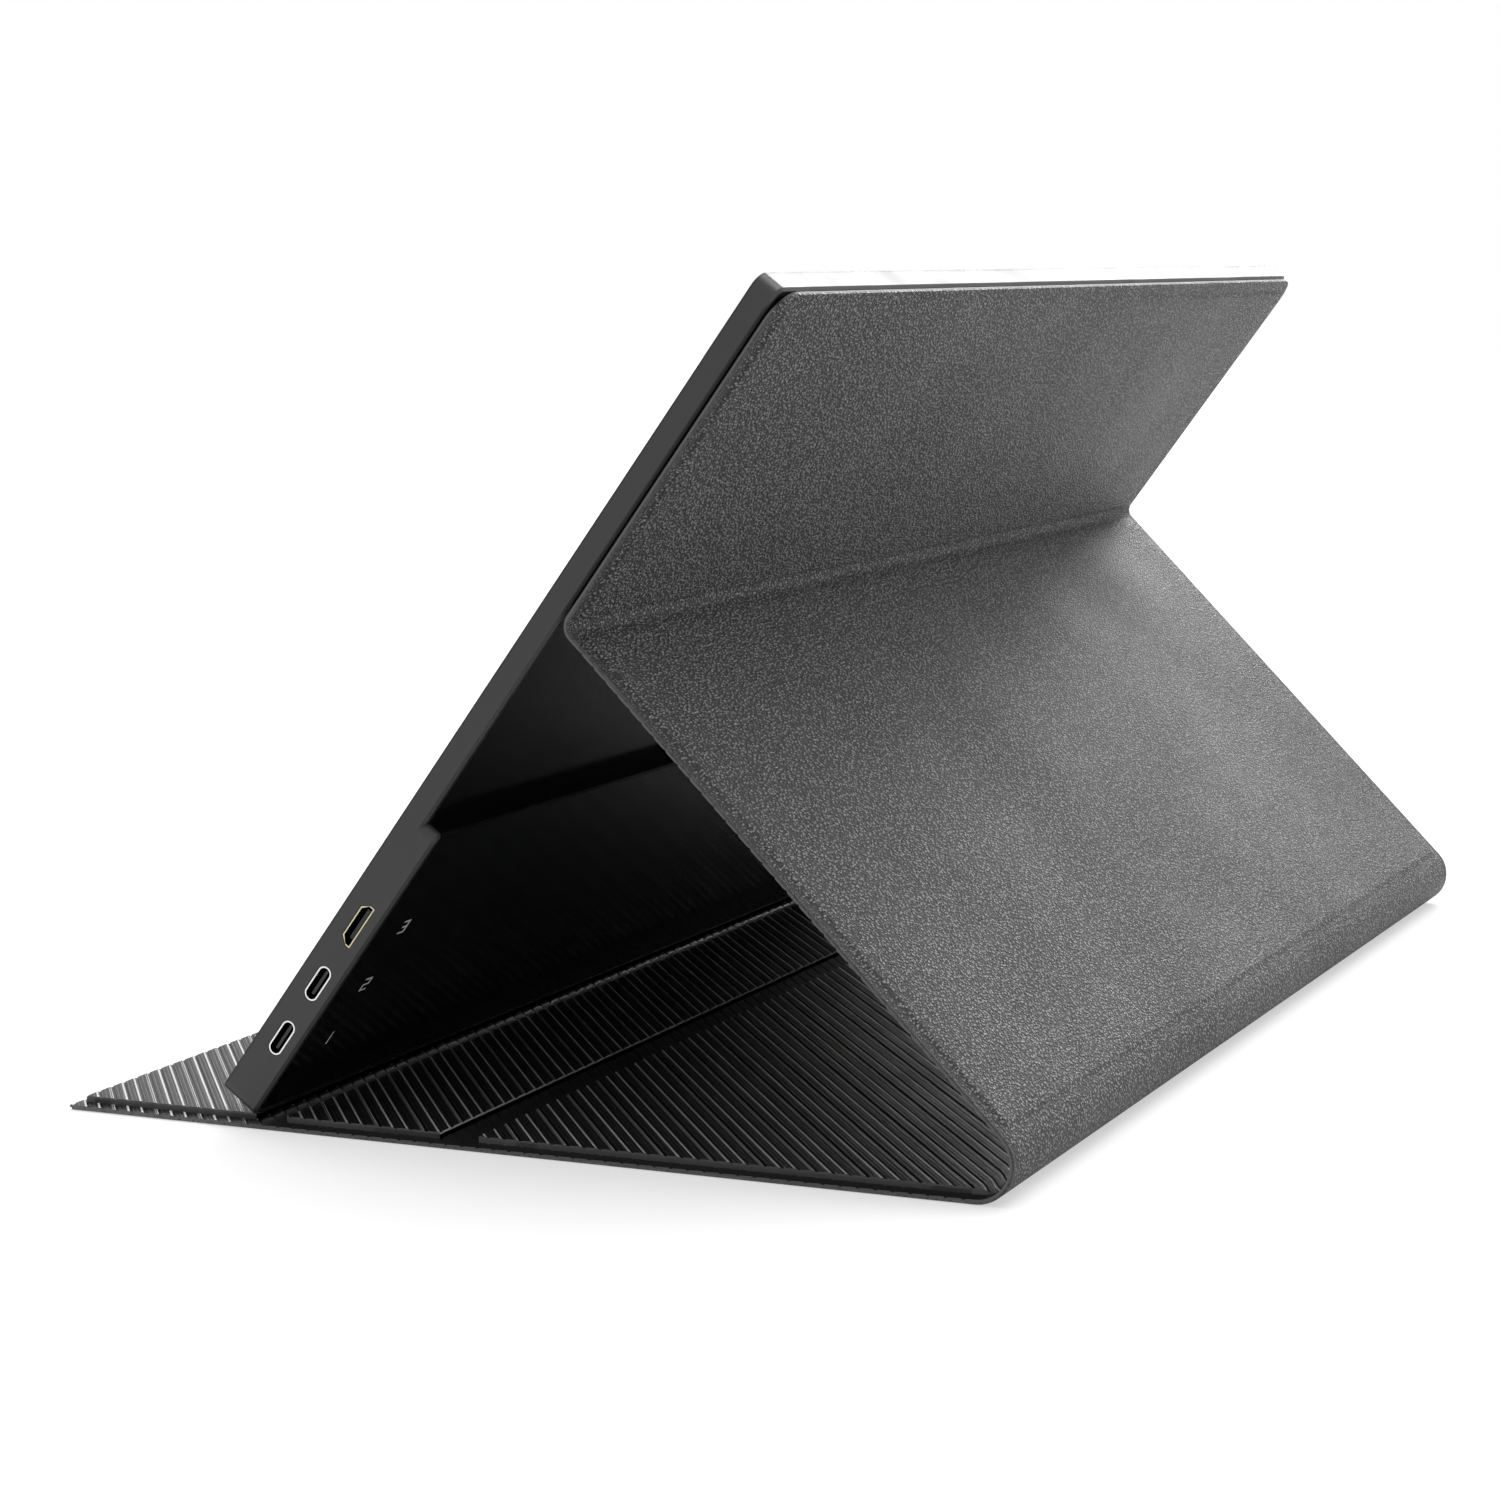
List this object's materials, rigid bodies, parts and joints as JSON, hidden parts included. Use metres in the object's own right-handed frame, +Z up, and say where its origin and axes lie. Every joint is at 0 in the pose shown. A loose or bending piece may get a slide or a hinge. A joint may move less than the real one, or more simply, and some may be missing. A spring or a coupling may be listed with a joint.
{
  "type": "portable monitor with cover",
  "caption": "Slim portable monitor standing at a lean in its folding magnetic cover, with ports on one side edge and keys on the other.",
  "frame": {"origin": "on the desk, at the middle of the footprint of the standing monitor and cover", "axes": "+X along the width, towards the ports; +Y towards the back, where the cover bends; +Z up. The screen faces -Y and up."},
  "size_m": [0.356, 0.2286, 0.1859],
  "materials": {
    "leather": "dark grey pebbled synthetic leather",
    "liner": "dark grey liner embossed with diagonal ribs",
    "board": "stiff pressed board",
    "magnet": "nickel-plated magnet",
    "frame": "satin dark grey paint on metal",
    "back": "glossy black plastic",
    "bezel": "matte black plastic",
    "screen": "dark panel glass with a matte coating",
    "diffuser": "white diffuser film",
    "guide": "clear light guide",
    "lamps": "white lamp strip",
    "steel": "stamped steel",
    "shell": "plated port shell",
    "tinned": "warm plated port shell",
    "tongue": "black connector core",
    "circuit": "green circuit board",
    "flex": "amber flat cable",
    "switch": "white switch housing",
    "speaker": "black speaker box"
  },
  "bodies": {
    "rear_panel": {"rear_skin": "leather", "rear_board": "board", "rear_liner": "liner", "spine_skin": "leather", "spine_liner": "liner"},
    "support": {"support_skin": "leather", "support_board": "board", "support_liner": "liner", "fold_skin": "leather", "fold_liner": "liner"},
    "screen": {"mid_frame": "frame", "rear_cover": "back", "front_bezel": "bezel", "lcd_panel": "screen", "optical_sheets": "diffuser", "light_guide": "guide", "back_tray": "steel", "led_bar": "lamps", "panel_board": "circuit", "panel_flex": "flex", "main_board": "circuit", "board_screws": "steel", "usb_c_shell_low": "shell", "usb_c_tongue_low": "tongue", "usb_c_shell_high": "shell", "usb_c_tongue_high": "tongue", "video_shell": "tinned", "video_tongue": "tongue", "audio_jack": "tongue", "button_board": "circuit", "button_switches": "switch", "button_cable": "flex", "speaker_left": "speaker", "speaker_right": "speaker", "steel_strips": "steel", "back_skin": "leather", "back_board": "board", "back_liner": "liner", "back_magnets": "magnet"},
    "power_key": {"power_button": "frame"},
    "menu_key": {"menu_rocker": "frame"},
    "middle_panel": {"mid_skin": "leather", "mid_board": "board", "mid_liner": "liner", "rear_crease": "leather"},
    "front_panel": {"front_skin": "leather", "front_board": "board", "front_liner": "liner", "front_magnets": "magnet", "front_crease": "leather"}
  },
  "joints": [
    {"name": "spine_roll", "type": "hinge", "parent": "rear_panel", "child": "support", "pos_m": [0, 0.1057, 0.0086], "axis": [-1, 0, 0], "range_deg": [0, 130], "deforming": ["spine_skin", "spine_liner"]},
    {"name": "fold_open", "type": "hinge", "parent": "support", "child": "screen", "pos_m": [0, 0.01901, 0.11375], "axis": [1, 0, 0], "range_deg": [0, 71], "deforming": ["fold_skin", "fold_liner"]},
    {"name": "rear_crease_bend", "type": "hinge", "parent": "rear_panel", "child": "middle_panel", "pos_m": [0, -0.0153, 0.0005], "axis": [1, 0, 0], "range_deg": [0, 90], "deforming": ["rear_crease"]},
    {"name": "front_crease_bend", "type": "hinge", "parent": "middle_panel", "child": "front_panel", "pos_m": [0, -0.063, 0.0005], "axis": [1, 0, 0], "range_deg": [0, 90], "deforming": ["front_crease"]},
    {"name": "power_press", "type": "slide", "parent": "screen", "child": "power_key", "axis": [1, 0, 0], "range_m": [0, 0.0005], "stiffness_N_per_m": 1500},
    {"name": "rocker_tilt", "type": "hinge", "parent": "screen", "child": "menu_key", "pos_m": [-0.1754, -0.03459, 0.05109], "axis": [0, 0.7976, -0.6032], "range_deg": [-3, 3], "stiffness_Nm_per_rad": 0.1}
  ],
  "couplings": [
    {"joint": "fold_open", "follows": "spine_roll", "ratio": 0.546}
  ]
}
